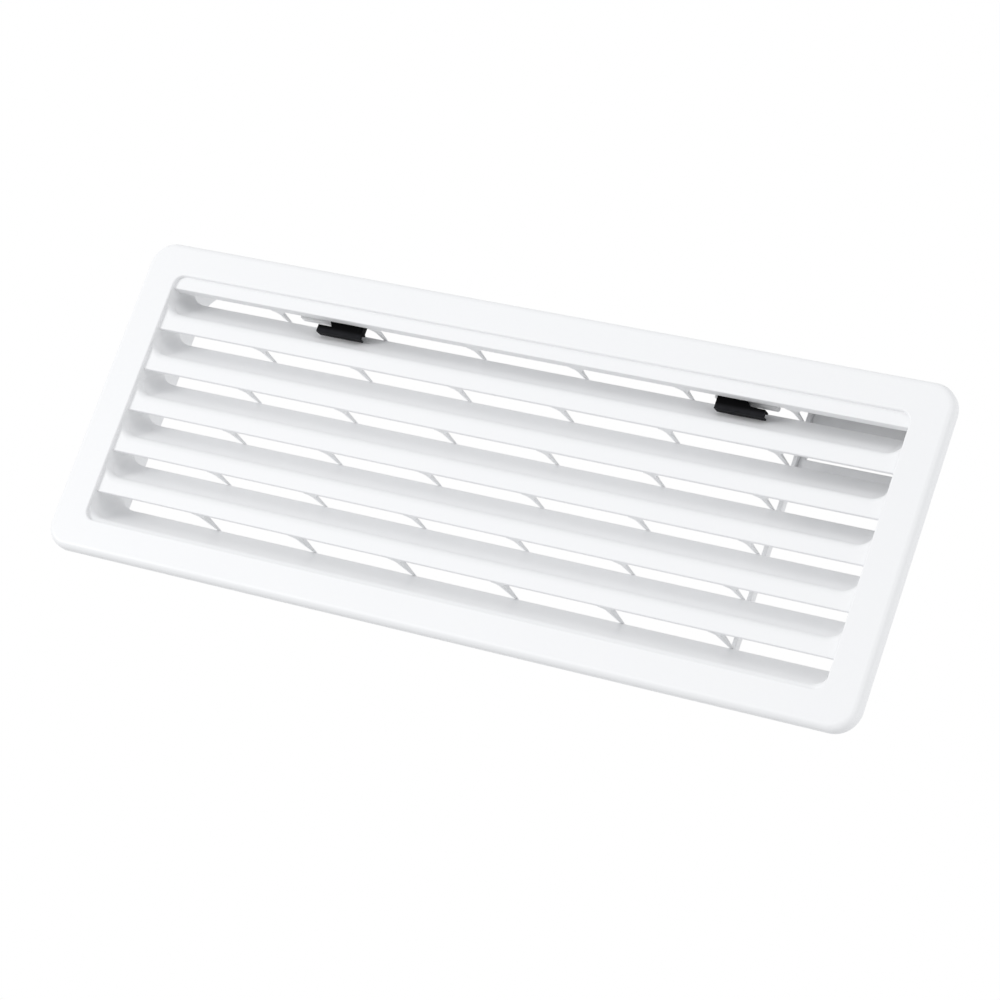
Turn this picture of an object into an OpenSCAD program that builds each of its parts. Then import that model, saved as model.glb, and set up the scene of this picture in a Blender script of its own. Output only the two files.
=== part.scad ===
// Louvred air grille: a wall frame with a collar, and a louvre panel that hangs on two hinge lugs at
// its foot and is held at its head by two sliding latches.
// X runs to the right seen from the front, Y runs into the wall and Z runs up.
// The wall face is at Y = 0, and the origin is the centre of the wall frame.

/* [Panel flange] */
// Width of the air opening
opening_w = 384; // [350:1:480]
// Height of the air opening
opening_h = 128; // [118:1:170]
// Corner radius of the air opening
opening_r = 5; // [2:0.5:8]
// Width of the flange beside the opening
border_side = 18; // [17:0.5:30]
// Width of the flange above and below the opening
border_top = 16; // [15.5:0.5:30]
// Outer corner radius of the flange
flange_r = 12; // [8:0.5:16]
// Rounding of the flange's front edge
edge_r = 3; // [1:0.25:4]
// Distance from the wall to the flange's front face
flange_stand = 9; // [8.5:0.25:13]
// Thickness of the flange's skin and rim
skin_t = 2.2; // [1.6:0.1:2.8]
// Gap between the rim and the wall
rim_gap = 2.5; // [2:0.25:3.5]
// Thickness of the skirt behind the flange
skirt_t = 2; // [1.5:0.1:3]

/* [Louvres] */
// Step from the flange's front face back to the louvre faces
face_step = 2; // [1:0.25:4]
// Height of a louvre's flat front face
face_h = 5.3; // [4:0.1:7]
// Height of the top louvre's face
top_face_h = 6.5; // [6.4:0.1:8]
// Radius of the rounded nose above the face
nose_r = 4.5; // [3:0.25:5]
// Thickness of a louvre
louvre_t = 2.4; // [1.6:0.1:2.8]
// Depth of the ledge along the top louvre's lower edge
ledge_d = 5.5; // [3:0.25:5.75]
// Thickness of that ledge
ledge_t = 2; // [1.4:0.1:2.4]
// Depth of a louvre from its face to its rear edge
louvre_depth = 18.5; // [18:0.5:24]
// Step from the top of the nose down to the blade
nose_drop = 0.5; // [0.2:0.1:1]
// Height of a rear edge above the lower edge of the louvre above it
rear_lap = 0.2; // [0:0.1:1]
// Depth of the sill below the last gap
sill_depth = 24; // [21:0.5:27]
// Radius of the scoop where a blade meets the end wall
scoop_r = 6; // [2:0.5:7]

/* [Ties] */
// Distance between the ties of one gap
tie_spacing = 54; // [50:0.5:60]
// Width of a tie
tie_w = 2; // [1.2:0.1:3]
// Height of a tie's root on the back of a louvre
tie_root = 2; // [1.4:0.1:3]
// Radius of the hollow flare at a tie's root
flare_r = 5; // [3:0.25:7]
// Width of the flare on each side of a tie
flare_w = 2.8; // [1:0.1:2.9]
// Height of the root of a tie that ends on the sill
sill_tie_root = 3.4; // [2:0.1:4]
// Height of a tie's tip above the rear edge below it
tie_tip = 0.35; // [0.2:0.05:1]
// Thickness of a tie's foot behind a rear edge
tie_t = 1.1; // [0.8:0.1:1.6]
// Height of a tie's foot on a rear edge
tie_foot = 2; // [1:0.1:2.4]

/* [Latches] */
// Distance from the middle to a latch's inner end when it is slid right in
latch_x = 87.5; // [86:0.5:92]
// Depth of a latch's front behind the louvre faces
latch_d = 6.5; // [6:0.25:7]
// Length of a latch's finger strip
strip_l = 24.2; // [20:0.1:26]
// Depth of the finger strip
strip_d = 4.5; // [3.5:0.1:5]
// Thickness of the finger strip's front wall
strip_t = 2; // [1.4:0.1:2.4]
// Thickness of the flanges along the finger strip
strip_flange_t = 0.9; // [0.7:0.1:1.2]
// Drop of the finger strip's top below the top of the opening
strip_drop = 8.4; // [8:0.1:9]
// Clearance of the finger strip above the second louvre
strip_room = 0.65; // [0.4:0.05:1.6]
// Length of a latch's front plate on the finger strip
plate_l = 17; // [16:0.25:18]
// How far the left front plate's outer edge leans out
left_lean = 1.6; // [-3:0.1:2]
// How far the right front plate's outer edge leans out
right_lean = -2.8; // [-3:0.1:2]
// Thickness of the front plate
plate_t = 2; // [1.4:0.1:2.6]
// Distance from a latch's inner end to its saddle
saddle_in = 5.5; // [5:0.25:6]
// Length of the saddle that rides on the rail
saddle_l = 7; // [6:0.5:8]
// Height of the saddle's lips above the rail's foot
lip_h = 1.7; // [1.3:0.1:2]
// Thickness of the latch's walls
latch_t = 2; // [1.6:0.1:2.2]
// Travel of a latch from unlocked to locked
latch_travel = 14; // [12:0.5:16]
// How far the left latch is slid out
left_slid = 0; // [0:0.5:9]
// How far the right latch is slid out
right_slid = 10.5; // [0:0.5:10.5]
// Width of the arm that carries the tongue
arm_w = 4; // [3:0.25:5]
// Length of the tongue beyond its arm
tongue_l = 4; // [3.8:0.1:5]
// Height of the tongue
tongue_h = 3; // [2:0.25:3.5]
// Length by which a locked tongue goes behind its catch
tongue_grip = 3; // [2:0.2:3]
// Thickness of a catch
catch_t = 2.8; // [2:0.1:3.4]
// Length of a catch
catch_l = 10; // [6:0.5:14]
// Drop of the rail's foot below the top of the opening
rail_drop = 5.7; // [5.5:0.1:6.2]
// Width of the rail's foot
rail_foot_w = 3.4; // [3:0.1:4]
// Thickness of the rail's foot
rail_t = 2; // [1.5:0.1:2.2]
// Thickness of the rail's web
web_t = 1.2; // [1:0.1:1.4]
// Distance from the saddle's inner end to the rail's inner end
rail_inset = 1.6; // [1:0.1:3]
// Length of the rail beyond the latch's outer position
rail_tail = 11.5; // [5:0.5:14]
// Width of the stops on the rail
stop_w = 2.4; // [1.6:0.1:3]
// Height by which a stop reaches down past the saddle's lips
stop_lap = 0.8; // [0.5:0.1:1]

/* [Wall frame] */
// Depth of the collar behind the wall face
collar_depth = 28.5; // [28:0.5:50]
// Thickness of the collar
collar_t = 2; // [1.5:0.1:3]
// Inner corner radius of the collar
collar_r = 12; // [8:0.5:14]
// Room between the skirt and the collar at the sides
collar_side_room = 1; // [0.8:0.1:2]
// Room between the skirt and the collar above and below
collar_top_room = 4; // [3.5:0.25:5]
// Thickness of the wall frame's flange
frame_t = 2.5; // [2:0.1:3]
// Room between the wall frame's flange and the panel's rim
rim_room = 1.2; // [1:0.1:2]
// Radius of the screw holes
screw_hole_r = 2.1; // [1.5:0.1:2.6]
// Distance between the screw holes of one side
screw_pitch = 90; // [60:1:110]

/* [Hinge] */
// Distance from the middle to a hinge lug
hinge_x = 140; // [80:1:160]
// Radius of the hinge pins
pin_r = 1.6; // [1.2:0.1:1.8]
// Radial play of the hinge pins
pin_play = 0.06; // [0.02:0.01:0.1]
// Wall of the hinge sockets round a pin
socket_wall = 1.2; // [1:0.1:1.4]
// Thickness of the lugs and of the socket ears
lug_t = 3; // [2:0.25:4]
// Height of the hinge above the flange's lower edge
hinge_rise = 6; // [5.5:0.25:7]

/* [Flue plate] */
// Width of the flue compartment
flue_w = 61.3; // [50:0.1:80]
// Height of the flue compartment
flue_h = 42; // [36:1:60]
// Thickness of the divider, the ledge and the flue plate
flue_t = 2.2; // [1.6:0.1:3]
// Distance from the flue plate to the collar's rear edge
plate_inset = 0.5; // [0:0.1:1]
// Depth of the divider and the ledge
divider_d = 5; // [4:0.5:12]
// Height of the slit in the flue plate
slit_h = 2.5; // [1.5:0.25:5]
// Distance from the plate's top edge to the slit
slit_drop = 22.65; // [12:0.05:28]
// Material left at the ends of the slit
slit_end = 2.75; // [1:0.25:5]

/* [Hidden] */
louvre_count = 6;
tie_count = 6;
// Sideways room for pieces that pass or slide along each other
slide_room = 0.3;
// Room between turning pieces that only pass each other
turn_room = 0.4;
// Length by which cutting shapes run past what they cut
over = 1;
$fn = 64;

white = [0.95, 0.95, 0.955];
black = [0.06, 0.06, 0.065];

flange_w = opening_w + 2 * border_side;
flange_h = opening_h + 2 * border_top;
front_y = -flange_stand;
rim_y = -rim_gap;
face_y = front_y + face_step;
skirt_y = face_y + louvre_depth;
top_z = opening_h / 2;

pitch = opening_h / louvre_count;
nose_top = face_h + nose_r;
blade_start = [nose_r, nose_top - nose_drop];
blade_end = [louvre_depth, pitch + rear_lap];
sill_end = [sill_depth, pitch + rear_lap];

frame_w = flange_w - 2 * (skin_t + rim_room);
frame_h = flange_h - 2 * (skin_t + rim_room);
frame_r = flange_r - skin_t - rim_room;
collar_w = opening_w + 2 * (skirt_t + collar_side_room);
collar_h = opening_h + 2 * (skirt_t + collar_top_room);
collar_out_w = collar_w + 2 * collar_t;
screw_x = (collar_out_w + frame_w) / 4;

socket_r = pin_r + pin_play + socket_wall;
hinge_y = front_y + skin_t + socket_r + turn_room;
hinge_z = -flange_h / 2 + hinge_rise;
ear_in = lug_t / 2 + turn_room;
ear_out = ear_in + lug_t;

// Latch and rail: depths are measured from the louvre faces
rail_foot_z = top_z - rail_drop;
rail_foot_top = rail_foot_z + rail_t;
strip_rear = latch_d + strip_d;
strip_top = top_z - strip_drop;
strip_z = louvre_z(2) + blade_top(strip_rear, blade_start, blade_end) + strip_room;
plate_rear = latch_d + plate_t;
foot_d = strip_rear + slide_room;
foot_rear = foot_d + rail_foot_w;
web_d = foot_d + (rail_foot_w - web_t) / 2;
saddle_x = latch_x + saddle_in;
saddle_end = saddle_x + saddle_l;
saddle_rear = foot_rear + slide_room + latch_t;
blade_room = slide_room * blade_drop(blade_start, blade_end) / louvre_t;
sole_z = louvre_z(2) + blade_top(saddle_rear, blade_start, blade_end) + blade_room;
sole_top = rail_foot_z - slide_room;
lip_z = rail_foot_top + slide_room;
saddle_top = lip_z + lip_h;
catch_d = louvre_depth + turn_room;
tongue_d = max(catch_d + catch_t + slide_room, saddle_rear);
tongue_rear = tongue_d + latch_t;
arm_x = saddle_end - arm_w;
arm_z = louvre_z(2) + blade_end[1] + slide_room;
tongue_z = top_z;
tongue_top = tongue_z + tongue_h;
tongue_end = saddle_end + tongue_l;
catch_x = tongue_end + latch_travel - tongue_grip;
rail_in = saddle_x + rail_inset;
rail_out = saddle_end + latch_travel + rail_tail;
stop_in = saddle_x - slide_room - stop_w;
stop_out = saddle_end + latch_travel + slide_room;
stop_z = saddle_top - stop_lap;

flue_x = collar_w / 2 - flue_w;
flue_top = collar_h / 2;
divider_y = collar_depth - divider_d;
plate_y = collar_depth - plate_inset - flue_t;

// Height of the lower edge of one louvre, counted from the top
function louvre_z(i) = top_z - top_face_h - (i - 1) * pitch;

// Height of a blade's upper side at a depth, on the line from its start to its end
function blade_top(d, start, end) = start[1] + (end[1] - start[1]) * (d - start[0]) / (end[0] - start[0]);

// Height by which a sloping sheet of the louvre's thickness measures more than that thickness
function blade_drop(start, end) =
    louvre_t * norm(end - start) / (end[0] - start[0]);

// Rectangle with round corners, centred
module rounded(w, h, r) {
    square([w - 2 * r, h], center = true);
    square([w, h - 2 * r], center = true);
    for (sx = [-1, 1], sz = [-1, 1])
        translate([sx * (w / 2 - r), sz * (h / 2 - r)]) circle(r);
}

// An outline seen from the front, from one depth to another
module from_front(y0, y1) {
    translate([0, y1, 0]) rotate([90, 0, 0]) linear_extrude(y1 - y0) children();
}

// A cross-section in depth and height, from one X to another
module along_x(x0, x1) {
    translate([x0, 0, 0]) rotate([90, 0, 90]) linear_extrude(x1 - x0) children();
}

// A block between two corners
module block(low, high) {
    translate(low) cube(high - low);
}

// A shape and its mirror image on the other side of the middle
module both_sides() {
    children();
    mirror([1, 0, 0]) children();
}

// A shape on the left, the mirror image of what is drawn on the right
module left_hand() {
    mirror([1, 0, 0]) children();
}

// Quarter of a disc
module quarter(r) {
    intersection() {
        circle(r);
        square(r);
    }
}

// A shape in the top right corner, repeated in all four corners
module four_corners() {
    both_sides() {
        children();
        mirror([0, 0, 1]) children();
    }
}

// Slab with its front edge rounded all round
module soft_slab(w, h, r, edge, y0, y1) {
    from_front(y0 + edge, y1) rounded(w, h, r);
    from_front(y0, y0 + edge) rounded(w - 2 * edge, h - 2 * edge, r - edge);
    four_corners() {
        along_x(0, w / 2 - r) translate([y0 + edge, h / 2 - edge]) mirror([1, 0]) quarter(edge);
        linear_extrude(h / 2 - r) translate([w / 2 - edge, y0 + edge]) mirror([0, 1]) quarter(edge);
        translate([w / 2 - r, y0 + edge, h / 2 - r]) rotate([90, 0, 0])
            rotate_extrude(angle = 90) translate([r - edge, 0]) quarter(edge);
    }
}

module opening_outline(grow = 0) {
    rounded(opening_w + 2 * grow, opening_h + 2 * grow, opening_r + grow);
}

module panel_flange() {
    color(white) difference() {
        union() {
            difference() {
                soft_slab(flange_w, flange_h, flange_r, edge_r, front_y, rim_y);
                from_front(front_y + skin_t, over)
                    rounded(flange_w - 2 * skin_t, flange_h - 2 * skin_t, flange_r - skin_t);
            }
            from_front(front_y + skin_t / 2, skirt_y) opening_outline(skirt_t);
        }
        from_front(front_y - over, skirt_y + over) opening_outline();
    }
}

// Cross-section of a louvre, from its face and its lower edge
module louvre_section(start, end) {
    drop = blade_drop(start, end);
    difference() {
        union() {
            square([louvre_t, face_h]);
            intersection() {
                translate([nose_r, face_h]) circle(nose_r);
                translate([0, face_h]) square(nose_r);
            }
            polygon([[louvre_t, 0], [nose_r, 0], start, end, [end[0], 0]]);
        }
        polygon([[louvre_t, -over], [louvre_t, blade_top(louvre_t, start, end) - drop],
                 [end[0] + over, blade_top(end[0] + over, start, end) - drop], [end[0] + over, -over]]);
    }
}

// Filling between a blade and the right end wall, hollowed to a round scoop
module scoop(start, end) {
    slope = atan2(end[1] - start[1], end[0] - start[0]);
    run = norm(end - start) + 2 * nose_r;
    intersection() {
        translate([opening_w / 2, start[0], start[1]]) rotate([slope, 0, 0]) difference() {
            block([-scoop_r, -2 * nose_r, -louvre_t / 2], [0, run, scoop_r]);
            translate([-scoop_r, -2 * nose_r - over, scoop_r]) rotate([-90, 0, 0])
                cylinder(r = scoop_r, h = run + 2 * nose_r + 2 * over);
        }
        block([0, 0, 0], [opening_w / 2, end[0], end[1] + scoop_r]);
    }
}

// A louvre between the end walls, with its lower edge at a height
module blade(z, start, end) {
    intersection() {
        translate([0, face_y, z]) {
            along_x(-opening_w / 2, opening_w / 2) louvre_section(start, end);
            both_sides() scoop(start, end);
        }
        from_front(face_y, face_y + end[0]) opening_outline();
    }
}

// The top louvre: an upright strip with a ledge along its lower edge
module top_louvre() {
    z = louvre_z(1);
    intersection() {
        along_x(-opening_w / 2, opening_w / 2) translate([face_y, z]) {
            square([louvre_t, top_z - z]);
            square([ledge_d, ledge_t]);
        }
        from_front(face_y, face_y + ledge_d) opening_outline();
    }
}

module louvre(i) {
    color(white)
        if (i == 1) top_louvre();
        else blade(louvre_z(i), blade_start, blade_end);
}

module louvre_sill() {
    color(white) blade(louvre_z(louvre_count + 1), blade_start, sill_end);
}

// Cross-section of a tie, from the back of the louvre above it to the rear edge below it
module tie_section(back, root, rear) {
    polygon([[back, 0], [back, root], rear + [tie_t, tie_tip], rear + [tie_t, -tie_foot],
             rear + [0, -tie_foot], rear]);
}

// A tie seen from above, with a hollow flare on both sides of its root
module tie_plan(back, end) {
    translate([-tie_w / 2, back]) square([tie_w, end - back]);
    for (side = [0, 1]) mirror([side, 0]) translate([tie_w / 2, back]) difference() {
        translate([-tie_w / 4, 0]) square([flare_w + tie_w / 4, flare_r]);
        translate([flare_r, flare_r]) circle(flare_r);
    }
}

module tie_row(i) {
    back = i == 1 ? ledge_d : louvre_t;
    root = i < louvre_count ? tie_root : sill_tie_root;
    end = i < louvre_count ? blade_end : sill_end;
    reach = tie_w / 2 + flare_w;
    color(white)
        for (j = [1:tie_count])
            translate([(j - (tie_count + 1) / 2) * tie_spacing, face_y, louvre_z(i)]) intersection() {
                along_x(-reach, reach) tie_section(back, root, end - [0, pitch]);
                translate([0, 0, -pitch]) linear_extrude(2 * pitch) tie_plan(back, end[0] + tie_t);
            }
}

module latch_rail() {
    web = [face_y + web_d, face_y + web_d + web_t];
    color(white) {
        block([rail_in, face_y + foot_d, rail_foot_z], [rail_out, face_y + foot_rear, rail_foot_top]);
        block([rail_in, web[0], rail_foot_z], [rail_out, web[1], top_z]);
        block([stop_in, web[0], stop_z], [rail_in, web[1], top_z]);
        for (x = [stop_in, stop_out])
            block([x, face_y + plate_rear + slide_room, stop_z], [x + stop_w, web[1], top_z]);
    }
}

// A latch on the right, slid out from its inner end, with its front plate's outer edge leaning out
module latch(slid, lean) {
    plate_x = latch_x + plate_l;
    color(black) translate([slid, face_y, 0]) {
        from_front(latch_d, latch_d + plate_t)
            polygon([[latch_x, strip_z], [plate_x, strip_z], [plate_x, strip_top], [plate_x + lean, rail_foot_z],
                     [plate_x + lean, saddle_top], [latch_x, saddle_top]]);
        block([latch_x, latch_d, strip_z], [latch_x + strip_l, latch_d + strip_t, strip_top]);
        for (z = [strip_z, strip_top - strip_flange_t])
            block([latch_x, latch_d, z], [latch_x + strip_l, strip_rear, z + strip_flange_t]);
        block([saddle_x, latch_d, strip_z], [saddle_end, strip_rear, saddle_top]);
        block([saddle_x, latch_d, sole_z], [saddle_end, saddle_rear, sole_top]);
        block([saddle_x, foot_rear + slide_room, sole_z], [saddle_end, saddle_rear, saddle_top]);
        block([saddle_x, latch_d, lip_z], [saddle_end, web_d - slide_room, saddle_top]);
        block([saddle_x, web_d + web_t + slide_room, lip_z], [saddle_end, saddle_rear, saddle_top]);
        block([arm_x, foot_rear + slide_room, arm_z], [saddle_end, tongue_rear, arm_z + latch_t]);
        block([arm_x, tongue_d, arm_z], [saddle_end, tongue_rear, tongue_top]);
        block([arm_x, tongue_d, tongue_z], [tongue_end, tongue_rear, tongue_top]);
    }
}

module latch_catch() {
    color(white)
        block([catch_x, face_y + catch_d, tongue_z],
              [catch_x + catch_l, face_y + catch_d + catch_t, collar_h / 2]);
}

// A lug behind the flange with a pin through it, on the right
module hinge_lug() {
    color(white) {
        translate([hinge_x, hinge_y, hinge_z]) rotate([0, 90, 0]) {
            cylinder(r = pin_r, h = 2 * ear_out, center = true);
            cylinder(r = socket_r - turn_room, h = lug_t, center = true);
        }
        block([hinge_x - lug_t / 2, front_y + skin_t, hinge_z - socket_r + turn_room],
              [hinge_x + lug_t / 2, hinge_y, hinge_z + socket_r - turn_room]);
    }
}

// The ears of one hinge socket, round the pin and back to the wall face
module socket_ears() {
    translate([hinge_x, 0, 0]) for (x = [-ear_out, ear_in]) {
        translate([x, hinge_y, hinge_z]) rotate([0, 90, 0]) cylinder(r = socket_r, h = lug_t);
        block([x, hinge_y, hinge_z - socket_r], [x + lug_t, 0, hinge_z + socket_r]);
    }
}

// Room for the pin, the lug and the pin's way up and out of one hinge socket
module socket_room() {
    bore_r = pin_r + pin_play;
    translate([hinge_x, hinge_y, hinge_z]) {
        rotate([0, 90, 0]) cylinder(r = bore_r, h = 2 * (ear_out + over), center = true);
        block([-ear_out - over, -bore_r, 0], [ear_out + over, bore_r, socket_r + over]);
        block([-ear_in, -socket_r, -socket_r - over], [ear_in, -hinge_y + over, socket_r]);
    }
}

module mounting_frame() {
    color(white) difference() {
        union() {
            from_front(-frame_t, 0) rounded(frame_w, frame_h, frame_r);
            from_front(-frame_t, collar_depth)
                rounded(collar_out_w, collar_h + 2 * collar_t, collar_r + collar_t);
            both_sides() socket_ears();
        }
        from_front(-frame_t - over, collar_depth + over) rounded(collar_w, collar_h, collar_r);
        both_sides() socket_room();
        for (sx = [-1, 1], sz = [-1, 1])
            translate([sx * screw_x, over, sz * screw_pitch / 2]) rotate([90, 0, 0])
                cylinder(r = screw_hole_r, h = frame_t + 2 * over);
    }
}

module flue_divider() {
    color(white)
        block([flue_x - flue_t, divider_y, -collar_h / 2], [flue_x, collar_depth, collar_h / 2]);
}

module flue_ledge() {
    color(white)
        block([flue_x, divider_y, flue_top - flue_h - flue_t],
              [collar_w / 2, collar_depth, flue_top - flue_h]);
}

module flue_plate() {
    color(white) intersection() {
        difference() {
            block([flue_x, plate_y, flue_top - flue_h], [collar_w / 2, plate_y + flue_t, flue_top]);
            block([flue_x + slit_end, plate_y - over, flue_top - slit_drop - slit_h],
                  [collar_w / 2 - slit_end, plate_y + flue_t + over, flue_top - slit_drop]);
        }
        from_front(plate_y, plate_y + flue_t) rounded(collar_w, collar_h, collar_r);
    }
}

mounting_frame();
left_hand() latch_catch();  // latch_catch_left
latch_catch();  // latch_catch_right
flue_divider();
flue_ledge();
flue_plate();
panel_flange();
for (i = [1:louvre_count]) louvre(i);
louvre_sill();
for (i = [1:louvre_count]) tie_row(i);
left_hand() latch_rail();  // latch_rail_left
latch_rail();  // latch_rail_right
left_hand() hinge_lug();  // hinge_lug_left
hinge_lug();  // hinge_lug_right
left_hand() latch(left_slid, left_lean);  // latch_left
latch(right_slid, right_lean);  // latch_right
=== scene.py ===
import math

import bmesh
import bpy
from mathutils import Matrix, Vector


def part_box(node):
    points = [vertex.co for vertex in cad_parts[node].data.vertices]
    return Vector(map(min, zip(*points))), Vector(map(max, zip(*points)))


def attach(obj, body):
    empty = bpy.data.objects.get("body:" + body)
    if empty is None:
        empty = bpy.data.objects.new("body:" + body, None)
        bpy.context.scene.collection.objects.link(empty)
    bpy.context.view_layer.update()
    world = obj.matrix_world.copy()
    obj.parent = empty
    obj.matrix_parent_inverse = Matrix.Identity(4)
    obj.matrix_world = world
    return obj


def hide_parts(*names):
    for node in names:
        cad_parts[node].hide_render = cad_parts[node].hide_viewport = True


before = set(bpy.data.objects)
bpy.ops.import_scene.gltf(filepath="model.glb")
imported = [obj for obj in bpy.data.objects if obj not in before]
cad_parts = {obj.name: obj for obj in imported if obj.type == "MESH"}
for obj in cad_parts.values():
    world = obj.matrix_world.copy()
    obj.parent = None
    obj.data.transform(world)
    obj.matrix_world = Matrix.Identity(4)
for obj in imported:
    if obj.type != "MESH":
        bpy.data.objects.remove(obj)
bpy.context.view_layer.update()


# White moulded plastic: the wall frame, the louvre panel and every fixed piece are moulded in it.
# The mould's fine texture gives the satin sheen, and the flow of the melt shows as a faint change
# of tone and gloss.
mm = 0.001


class Shade:
    """A shader socket that takes part in sums, differences and products."""

    def __init__(self, tree, socket=None):
        self.tree = tree
        self.socket = socket

    def node(self, kind, settings=None, sockets=None, output=0):
        """A new node: its settings are made first, then the values or links of its sockets."""
        made = self.tree.nodes.new(kind)
        for name, value in (settings or {}).items():
            setattr(made, name, value)
        for name, value in (sockets or {}).items():
            if isinstance(value, Shade):
                self.tree.links.new(value.socket, made.inputs[name])
            else:
                made.inputs[name].default_value = value
        return Shade(self.tree, made.outputs[output])

    def maths(self, operation, first, second, clamp=False):
        """One operation on two values, its result held between 0 and 1 where it is clamped."""
        settings = {"operation": operation, "use_clamp": clamp}
        return self.node("ShaderNodeMath", settings, {0: first, 1: second})

    def __add__(self, other):
        return self.maths("ADD", self, other)

    def __radd__(self, other):
        return self.maths("ADD", other, self)

    def __sub__(self, other):
        return self.maths("SUBTRACT", self, other)

    def __rsub__(self, other):
        return self.maths("SUBTRACT", other, self)

    def __mul__(self, other):
        return self.maths("MULTIPLY", self, other)

    def __rmul__(self, other):
        return self.maths("MULTIPLY", other, self)


def new_finish(name):
    """An empty node material, its shader and its Object coordinates."""
    finish = bpy.data.materials.new(name)
    finish.use_nodes = True
    place = Shade(finish.node_tree).node("ShaderNodeTexCoord", output="Object")
    return finish, finish.node_tree.nodes["Principled BSDF"], place


def feed(shader, **shades):
    """Links varying shades to the shader's sockets, named with underscores for spaces."""
    for name, shade in shades.items():
        shade.tree.links.new(shade.socket, shader.inputs[name.replace("_", " ")])


def noise(place, scale, detail):
    """A mottle over the piece, with its scale in spots to a metre."""
    return place.node("ShaderNodeTexNoise", sockets={"Vector": place, "Scale": scale, "Detail": detail})


def tone(factor, first, second):
    """A colour that goes from the first to the second with a factor."""
    first_socket, second_socket, colour_output = 6, 7, 2
    sockets = {"Factor": factor, first_socket: (*first, 1), second_socket: (*second, 1)}
    return factor.node("ShaderNodeMix", {"data_type": "RGBA"}, sockets, colour_output)


def mould_texture(grain, strength):
    """The normals of the mould's fine texture."""
    texture_depth = 0.03 * mm
    sockets = {"Height": grain, "Strength": strength, "Distance": texture_depth}
    return grain.node("ShaderNodeBump", sockets=sockets)


def white_plastic():
    bright = (0.94, 0.942, 0.947)
    cool = (0.925, 0.929, 0.937)
    satin = 0.34
    flow_dulling = 0.12
    grain_dulling = 0.06
    finish, shader, place = new_finish("white_moulded_plastic")
    flow = noise(place, scale=16.0, detail=3.0)
    grain = noise(place, scale=2400.0, detail=2.0)
    feed(
        shader,
        Base_Color=tone(flow, bright, cool),
        Roughness=satin + flow_dulling * flow + grain_dulling * grain,
        Normal=mould_texture(grain, strength=0.12),
    )
    return finish


white = white_plastic()


# Wall frame: a flat flange that is screwed to the wall, and the deep collar that lines the cut-out.
# It is one white moulding with its edges eased, and has two open hinge sockets at its foot.
frame_ease = 0.3 * mm


def round_off(mesh, geometry, radius, segments, affect="EDGES"):
    """Rounds edges, or the corners of a flat outline."""
    bmesh.ops.bevel(
        mesh,
        geom=geometry,
        offset=radius,
        offset_type="OFFSET",
        segments=segments,
        profile=0.5,
        affect=affect,
        material=-1,
    )


def soft_copy(node, ease, rounder=None, round_r=0.0):
    """The shape of a CAD node with its sharp edges eased, and chosen ones rounded further."""
    weld = 0.001 * mm
    flat = math.radians(1)
    sharp = math.radians(40)
    shortest = 4 * ease
    mesh = bmesh.new()
    mesh.from_mesh(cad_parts[node].data)
    bmesh.ops.remove_doubles(mesh, verts=mesh.verts, dist=weld)
    bmesh.ops.dissolve_limit(mesh, angle_limit=flat, verts=mesh.verts, edges=mesh.edges)
    if rounder:
        round_off(mesh, [edge for edge in mesh.edges if rounder(edge)], round_r, segments=6)
    creases = [edge for edge in mesh.edges if edge.calc_face_angle(0) > sharp]
    round_off(mesh, [edge for edge in creases if edge.calc_length() > shortest], ease, segments=3)
    return mesh


def stand_in(name, mesh, finish, slot, body, *nodes):
    """Makes an object of a finished mesh, in place of the CAD nodes that it stands for."""
    crease = math.radians(50)
    for face in mesh.faces:
        face.smooth = True
    for edge in mesh.edges:
        edge.smooth = edge.is_manifold and edge.calc_face_angle() < crease
    data = bpy.data.meshes.new(name)
    mesh.to_mesh(data)
    mesh.free()
    data.materials.append(finish)
    piece = bpy.data.objects.new(name, data)
    bpy.context.scene.collection.objects.link(piece)
    piece.modifiers.new("even_shading", "WEIGHTED_NORMAL").keep_sharp = True
    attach(piece, body)
    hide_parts(*nodes)


def white_piece(name, mesh, body, *nodes):
    stand_in(name, mesh, white, "white_plastic", body, *nodes)


white_piece("collar_frame", soft_copy("mounting_frame", frame_ease), "wall_frame", "mounting_frame")


# Latch catches: two short ribs under the top of the collar, which the locked latches hook behind.
# They are moulded with the collar, so their exposed edges carry a small rounding too.
sides = ("left", "right")
rib_ease = 0.4 * mm

for side in sides:
    catch = f"latch_catch_{side}"
    white_piece(f"catch_rib_{side}", soft_copy(catch, rib_ease), "wall_frame", catch)


# Flue corner: an upright divider and a ledge box in one rear corner of the collar, moulded with it.
# A blanking plate with a narrow slit closes the corner, and is cut out where a flue passes.
for rib in ("flue_divider", "flue_ledge", "flue_plate"):
    white_piece(f"{rib}_moulding", soft_copy(rib, rib_ease), "wall_frame", rib)


# Louvre panel flange: the flat rounded border that covers the wall frame, with a rim that turns back
# to the wall and a skirt round the air opening. It is the front of the panel's one moulding.
flange_low, flange_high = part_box("panel_flange")
mouth_low, mouth_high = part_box("louvre_1")
opening_r = 5 * mm


def rounded_ring(mesh, width, height, radius, depth):
    """The corners of a rounded rectangle, seen from the front, in order round it."""
    signs = ((-1, -1), (1, -1), (1, 1), (-1, 1))
    corners = [mesh.verts.new((x * width / 2, depth, z * height / 2)) for x, z in signs]
    mesh.faces.new(corners)
    round_off(mesh, corners, radius, segments=12, affect="VERTICES")
    mesh.faces.ensure_lookup_table()
    sheet = mesh.faces[-1]
    ring = list(sheet.verts)
    bmesh.ops.delete(mesh, geom=[sheet], context="FACES_ONLY")
    return ring


def join_rings(mesh, rings):
    """Joins rings of as many corners, each to the next."""
    for ring, following in zip(rings, rings[1:]):
        for k in range(len(ring)):
            mesh.faces.new((ring[k - 1], ring[k], following[k], following[k - 1]))


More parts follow.
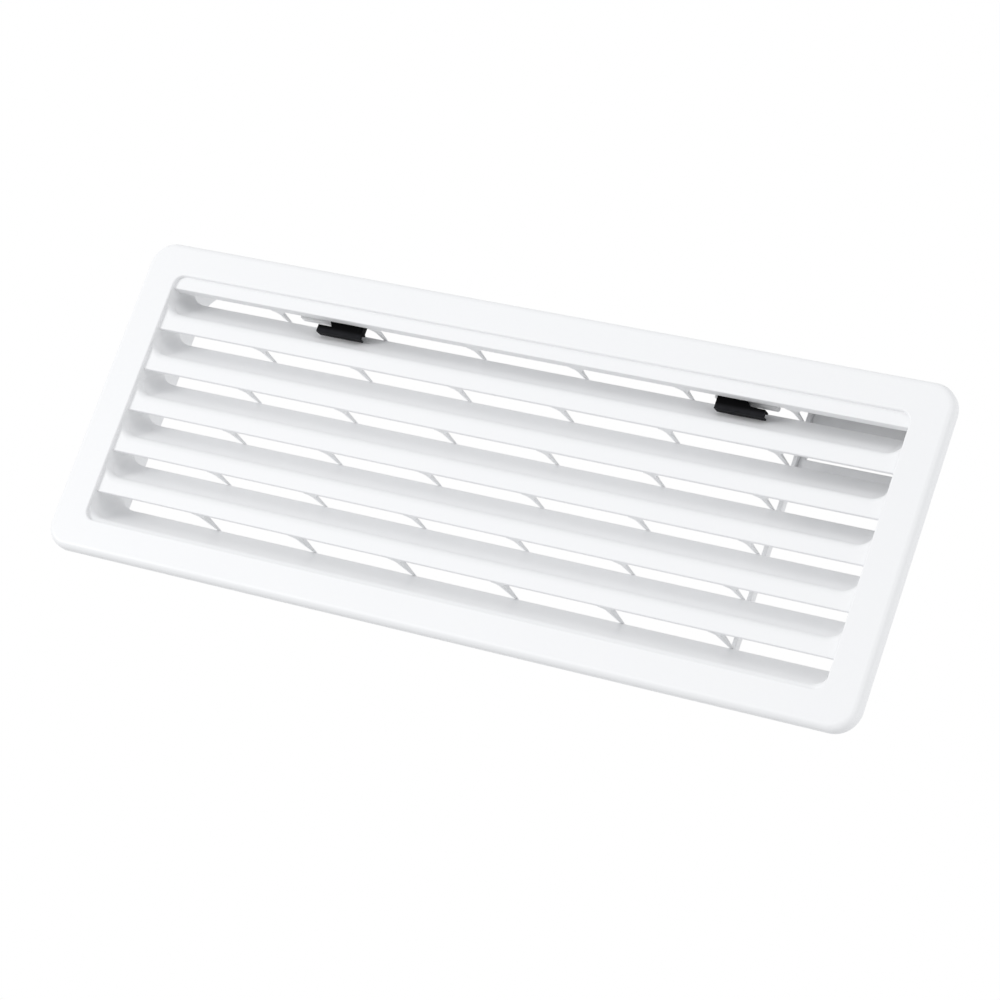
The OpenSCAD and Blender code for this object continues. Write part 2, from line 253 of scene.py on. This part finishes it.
def quarter_round(radius, steps):
    """Pairs of what is left of a quarter round's width and height, from its top to its side."""
    turns = [math.pi / 2 * step / steps for step in range(steps + 1)]
    return [(radius * (1 - math.sin(turn)), radius * (1 - math.cos(turn))) for turn in turns]


def flange_mesh():
    """A closed skin through rings, from the skirt's hem over the front and rim to the skirt's back."""
    corner_r = 12 * mm
    edge_r = 3 * mm
    mouth_edge_r = 0.8 * mm
    hem_r = 0.4 * mm
    skin_t = 2.2 * mm
    skirt_t = 2 * mm
    rim_d = 6.5 * mm
    front = flange_low.y
    skin_rear = front + skin_t
    rim_rear = front + rim_d
    skirt_rear = flange_high.y
    mesh = bmesh.new()

    def hole(grow, depth):
        width = mouth_high.x - mouth_low.x + 2 * grow
        return rounded_ring(mesh, width, 2 * (mouth_high.z + grow), opening_r + grow, depth)

    def rim(inset, depth):
        width = flange_high.x - flange_low.x - 2 * inset
        height = flange_high.z - flange_low.z - 2 * inset
        return rounded_ring(mesh, width, height, corner_r - inset, depth)

    hem = quarter_round(hem_r, steps=3)
    mouth_edge = quarter_round(mouth_edge_r, steps=4)
    outer_edge = quarter_round(edge_r, steps=8)
    rings = [hole(inset, skirt_rear - fall) for inset, fall in hem]
    rings += [hole(inset, front + fall) for inset, fall in reversed(mouth_edge)]
    rings += [rim(inset, front + fall) for inset, fall in outer_edge]
    rings += [rim(inset, rim_rear - fall) for inset, fall in reversed(hem)]
    rings += [rim(skin_t - inset, rim_rear - fall) for inset, fall in hem]
    rings += [rim(skin_t, skin_rear), hole(skirt_t, skin_rear)]
    rings += [hole(skirt_t - inset, skirt_rear - fall) for inset, fall in reversed(hem)]
    join_rings(mesh, rings + rings[:1])
    bmesh.ops.recalc_face_normals(mesh, faces=mesh.faces)
    return mesh


white_piece("flange_moulding", flange_mesh(), "louvre_panel", "panel_flange")


# Louvres: an L-shaped top strip, five sloping louvres with a flat lip and a rounded nose, and a sill.
# They are moulded with the flange, and each blade runs out into the end walls in a round scoop.
louvre_count = 6
lip_h = 5.3 * mm
nose_r = 4.5 * mm
nose_drop = 0.5 * mm
louvre_t = 2.4 * mm
rear_lap = 0.2 * mm
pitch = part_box("louvre_2")[0].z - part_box("louvre_3")[0].z
louvre_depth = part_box("louvre_2")[1].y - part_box("louvre_2")[0].y
sill_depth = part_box("louvre_sill")[1].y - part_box("louvre_sill")[0].y
blade_start = Vector((nose_r, lip_h + nose_r - nose_drop))
blade_end = Vector((louvre_depth, pitch + rear_lap))
sill_end = Vector((sill_depth, pitch + rear_lap))


def rounded_section(corners):
    """The points round a cross-section, from its corners in depth, height and rounding."""
    nose_steps = 10
    edge_steps = 4
    widest_edge_r = 1 * mm
    sheet = bmesh.new()
    points = [sheet.verts.new((0, depth, height)) for depth, height, radius in corners]
    sheet.faces.new(points)
    for point, (depth, height, radius) in zip(points, corners):
        if radius:
            steps = nose_steps if radius > widest_edge_r else edge_steps
            round_off(sheet, [point], radius, steps, affect="VERTICES")
    sheet.faces.ensure_lookup_table()
    section = [(point.co.y, point.co.z) for point in sheet.faces[0].verts]
    sheet.free()
    return section


def drawn_out(sections):
    """A closed mesh through sections of as many places, with its two ends filled."""
    mesh = bmesh.new()
    rings = [[mesh.verts.new(place) for place in places] for places in sections]
    join_rings(mesh, rings)
    mesh.faces.new(rings[0])
    mesh.faces.new(rings[-1])
    bmesh.ops.recalc_face_normals(mesh, faces=mesh.faces)
    return mesh


def trim(mesh, point, outward):
    """Cuts away what lies beyond a plane and closes the cut."""
    everything = mesh.verts[:] + mesh.edges[:] + mesh.faces[:]
    cut = bmesh.ops.bisect_plane(
        mesh, geom=everything, plane_co=point, plane_no=outward, clear_outer=True
    )["geom_cut"]
    cut_edges = [item for item in cut if isinstance(item, bmesh.types.BMEdge)]
    if cut_edges:
        bmesh.ops.edgeloop_fill(mesh, edges=cut_edges)


def fit_to_mouth(mesh, half):
    """Trims a piece to the round corners of the air opening, in its upper half (1) or lower half (-1)."""
    corner_steps = 6
    for side in (-1, 1):
        centre = Vector((side * (mouth_high.x - opening_r), 0, half * (mouth_high.z - opening_r)))
        for step in range(corner_steps + 1):
            turn = math.pi / 2 * step / corner_steps
            outward = Vector((side * math.cos(turn), 0, half * math.sin(turn)))
            trim(mesh, centre + opening_r * outward, outward)


def louvre_mesh(low, end):
    """A louvre's lip, nose and blade, lifted to a scoop at its ends and sunk into the end walls."""
    lip_edge_r = 0.5 * mm
    nose_gap = 0.1 * mm
    crease_r = 0.05 * mm
    rear_edge_r = 0.5 * mm
    hook_r = 0.9 * mm
    back_edge_r = 0.4 * mm
    sunk = 0.5 * mm
    scoop_w = 8 * mm
    front_rise = 8.5 * mm
    rear_rise = 6 * mm
    slope = (end.y - blade_start.y) / (end.x - blade_start.x)
    blade_t = louvre_t * math.hypot(1, slope)
    hook_z = blade_start.y + slope * (louvre_t - blade_start.x) - blade_t
    corners = (
        (0, 0, lip_edge_r),
        (0, lip_h + nose_r, nose_r - nose_gap),
        (nose_r, lip_h + nose_r, crease_r),
        (blade_start.x, blade_start.y, 0),
        (end.x, end.y, rear_edge_r),
        (end.x, end.y - blade_t, rear_edge_r),
        (louvre_t, hook_z, hook_r),
        (louvre_t, 0, back_edge_r),
    )
    section = rounded_section(corners)

    def lifted(x, share):
        """The section at one place along the louvre, its upper side lifted by a share of the scoop."""
        places = []
        for depth, height in section:
            middle = blade_start.y + slope * (depth - blade_start.x) - blade_t / 2
            rise = front_rise + (rear_rise - front_rise) * depth / end.x
            lift = share * rise if height > middle else 0
            places.append((x, low.y + depth, low.z + height + lift))
        return places

    scoop = quarter_round(radius=1, steps=10)
    right = [(mouth_high.x - scoop_w * inset, share) for inset, share in scoop]
    right.append((mouth_high.x + sunk, 1))
    left = [(-x, share) for x, share in reversed(right)]
    return drawn_out([lifted(x, share) for x, share in left + right])


def top_strip():
    """The top louvre: an upright strip with a ledge along its lower edge."""
    ledge_t = 2 * mm
    strip_edge_r = 0.5 * mm
    inner_r = 0.5 * mm
    ledge_upper_r = 0.3 * mm
    ledge_lower_r = 0.4 * mm
    strip_rear = mouth_low.y + louvre_t
    corners = (
        (mouth_low.y, mouth_low.z, strip_edge_r),
        (mouth_low.y, mouth_high.z, 0),
        (strip_rear, mouth_high.z, 0),
        (strip_rear, mouth_low.z + ledge_t, inner_r),
        (mouth_high.y, mouth_low.z + ledge_t, ledge_upper_r),
        (mouth_high.y, mouth_low.z, ledge_lower_r),
    )
    section = rounded_section(corners)
    ends = (mouth_low.x, mouth_high.x)
    mesh = drawn_out([[(x, depth, height) for depth, height in section] for x in ends])
    fit_to_mouth(mesh, half=1)
    return mesh


def sill_mesh():
    """The lowest louvre, which reaches further back than the others."""
    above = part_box(f"louvre_{louvre_count}")[0]
    mesh = louvre_mesh(above - Vector((0, 0, pitch)), sill_end)
    fit_to_mouth(mesh, half=-1)
    return mesh


white_piece("louvre_strip_1", top_strip(), "louvre_panel", "louvre_1")
for number in range(2, louvre_count + 1):
    node = f"louvre_{number}"
    blade = louvre_mesh(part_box(node)[0], blade_end)
    # The scoops of the second louvre reach up into the round corners of the opening
    if number == 2:
        fit_to_mouth(blade, half=1)
    white_piece(f"louvre_blade_{number}", blade, "louvre_panel", node)
white_piece("sill_blade", sill_mesh(), "louvre_panel", "louvre_sill")


# Ties: slim ribs that taper from the back of each lip to the rear edge of the louvre below.
# Six to a gap, moulded with the panel, they keep the long louvres from bowing.
tie_ease = 0.2 * mm

for number in range(1, louvre_count + 1):
    row = f"tie_row_{number}"
    white_piece(f"tie_bars_{number}", soft_copy(row, tie_ease), "louvre_panel", row)


# Latch rails: pale tee rails under the top of the opening, with a stop at each end of the travel.
# They are moulded with the panel, and the outer end of each foot is well rounded.
rail_ease = 0.2 * mm
rail_toe_r = 1.1 * mm


def rail_mesh(node):
    """A rail with its edges eased and the outer end of its foot rounded."""
    low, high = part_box(node)
    outer = max(abs(low.x), abs(high.x))
    near = 0.01 * mm

    def at_toe(edge):
        return all(abs(v.co.z - low.z) < near and abs(abs(v.co.x) - outer) < near for v in edge.verts)

    return soft_copy(node, rail_ease, at_toe, rail_toe_r)


for side in sides:
    rail = f"latch_rail_{side}"
    white_piece(f"tee_rail_{side}", rail_mesh(rail), "louvre_panel", rail)


# Hinge lugs: two short lugs behind the flange's foot, each with a pin through it.
# The pins drop into the open sockets of the wall frame, and the panel tips out about them.
lug_ease = 0.2 * mm

for side in sides:
    lug = f"hinge_lug_{side}"
    white_piece(f"pin_lug_{side}", soft_copy(lug, lug_ease), "louvre_panel", lug)


# Latches: black sliders with a channelled finger strip, a front plate, a saddle round the rail and a
# tongue. Each is one small moulding in black plastic with a low sheen; a painted sheen lightens the lower
# band of each finger strip.
latch_ease = 0.2 * mm


def black_plastic():
    deep = (0.0012, 0.0012, 0.0015)
    # The lighter grey is a painted sheen on the finger strip's lower band, and random rub marks
    # elsewhere.
    sheen_and_rub = (0.02, 0.0205, 0.023)
    sheen_drop = 9.2 * mm
    sheen_fade = 1.6 * mm
    sheen_least = 0.5
    sheen_change = 0.7
    stray_rub = 0.06
    smooth = 0.3
    rub_dulling = 0.22
    grain_dulling = 0.05
    sheen_level = 0.03
    finish, shader, place = new_finish("black_moulded_plastic")
    grain = noise(place, scale=1800.0, detail=2.0)
    rub = noise(place, scale=140.0, detail=4.0)
    height = place.node("ShaderNodeSeparateXYZ", sockets={"Vector": place}, output="Z")
    # Painted sheen: below this height the colour fades to the lighter grey, a lit band painted on the
    # strip's lower edge and mottled by the rub noise.
    sheen_top = mouth_high.z - sheen_drop
    painted_sheen = height.maths("MULTIPLY", sheen_top - height, 1 / sheen_fade, clamp=True)
    feed(
        shader,
        Base_Color=tone(painted_sheen * (sheen_least + sheen_change * rub) + stray_rub * rub, deep, sheen_and_rub),
        Roughness=smooth + rub_dulling * rub + grain_dulling * grain,
        Normal=mould_texture(grain, strength=0.25),
    )
    shader.inputs["Specular IOR Level"].default_value = sheen_level
    return finish


black = black_plastic()

for side in sides:
    latch = f"latch_{side}"
    body = f"latch_slider_{side}"
    mesh = soft_copy(latch, latch_ease)
    stand_in(f"slide_latch_{side}", mesh, black, "black_plastic", body, latch)


# Floor: a wide pale sheet well below the part, which hangs on its wall mount.
# It is plain matt paper and throws light back up under the louvres.
floor_drop = 1.7
floor_r = 6.0
floor_sides = 64


def floor_paper():
    pale = (0.9, 0.9, 0.9)
    cooler = (0.88, 0.88, 0.885)
    matt = 0.9
    finish, shader, place = new_finish("floor_paper")
    feed(shader, Base_Color=tone(noise(place, scale=2.0, detail=2.0), pale, cooler))
    shader.inputs["Roughness"].default_value = matt
    return finish


paper = bmesh.new()
bmesh.ops.create_circle(paper, cap_ends=True, radius=floor_r, segments=floor_sides)
bmesh.ops.translate(paper, verts=paper.verts, vec=(0, 0, -floor_drop))
sheet = bpy.data.meshes.new("floor_sheet")
paper.to_mesh(sheet)
paper.free()
sheet.materials.append(floor_paper())
floor = bpy.data.objects.new("floor_sheet", sheet)
bpy.context.scene.collection.objects.link(floor)


# Studio light: an even pale room, white to the camera, and three soft lamps a good way off, each with a
# grid that keeps its light off the floor. One low at the left shines into the gaps and leaves their left
# ends in soft shade, one high at the right lights the noses, and one at the far right the rim.
grid_spread = math.radians(90)


def room_light(level):
    """A room that gives an even light of one level, and shows white to the camera and in gloss."""
    pale = (0.975, 0.985, 1, 1)
    plain_white = (1, 1, 1, 1)
    room = bpy.data.worlds.new("studio_room")
    bpy.context.scene.world = room
    room.use_nodes = True
    start = Shade(room.node_tree)
    seen = start.node("ShaderNodeLightPath", output="Is Camera Ray")
    mirrored = start.node("ShaderNodeLightPath", output="Is Glossy Ray")
    shown = seen.maths("MAXIMUM", seen, mirrored)
    fill = start.node("ShaderNodeBackground", sockets={"Color": pale, "Strength": level})
    backdrop = start.node("ShaderNodeBackground", sockets={"Color": plain_white, "Strength": 1.0})
    mixed = start.node("ShaderNodeMixShader", sockets={0: shown, 1: fill, 2: backdrop})
    room.node_tree.links.new(mixed.socket, room.node_tree.nodes["World Output"].inputs["Surface"])


def soft_lamp(name, place, size, power):
    """A round lamp behind a grid, turned to the middle of the part."""
    lamp = bpy.data.lights.new(name, "AREA")
    lamp.shape = "DISK"
    lamp.size = size
    lamp.energy = power
    lamp.spread = grid_spread
    holder = bpy.data.objects.new(name, lamp)
    bpy.context.scene.collection.objects.link(holder)
    holder.location = place
    holder.rotation_euler = (-Vector(place)).to_track_quat("-Z", "Y").to_euler()


room_light(level=0.665)
soft_lamp("left_lamp", place=(-2.86, -3.41, -0.63), size=2.0, power=18.0)
soft_lamp("right_lamp", place=(2.5, -2.98, 2.25), size=2.0, power=5.5)
soft_lamp("rim_lamp", place=(4.33, 0.76, -0.94), size=1.4, power=6.6)


# Camera: it looks up at the part from below and from the right, turned so that the part leans.
# Its distance and lens give the perspective of the part's long edges.
look_azimuth = math.radians(28.44)
look_height = math.radians(-13.56)
look_turn = math.radians(19.37)
look_distance = 1480.7 * mm
aim_right = 10.26 * mm
aim_down = 14.56 * mm
lens_mm = 118.14
sensor_mm = 36

level_view = Matrix.Rotation(math.pi / 2 - look_height, 3, "X")
upright = Matrix.Rotation(look_azimuth, 3, "Z") @ level_view
turned = upright @ Matrix.Rotation(look_turn, 3, "Z")
flange_centre = Vector((0, flange_low.y, 0))
camera = bpy.data.objects.new("camera", bpy.data.cameras.new("camera"))
camera.data.lens = lens_mm
camera.data.sensor_width = sensor_mm
camera.location = flange_centre + turned @ Vector((aim_right, -aim_down, look_distance))
camera.rotation_euler = turned.to_euler()
bpy.context.scene.collection.objects.link(camera)
bpy.context.scene.camera = camera
bpy.context.scene.view_settings.view_transform = "Standard"
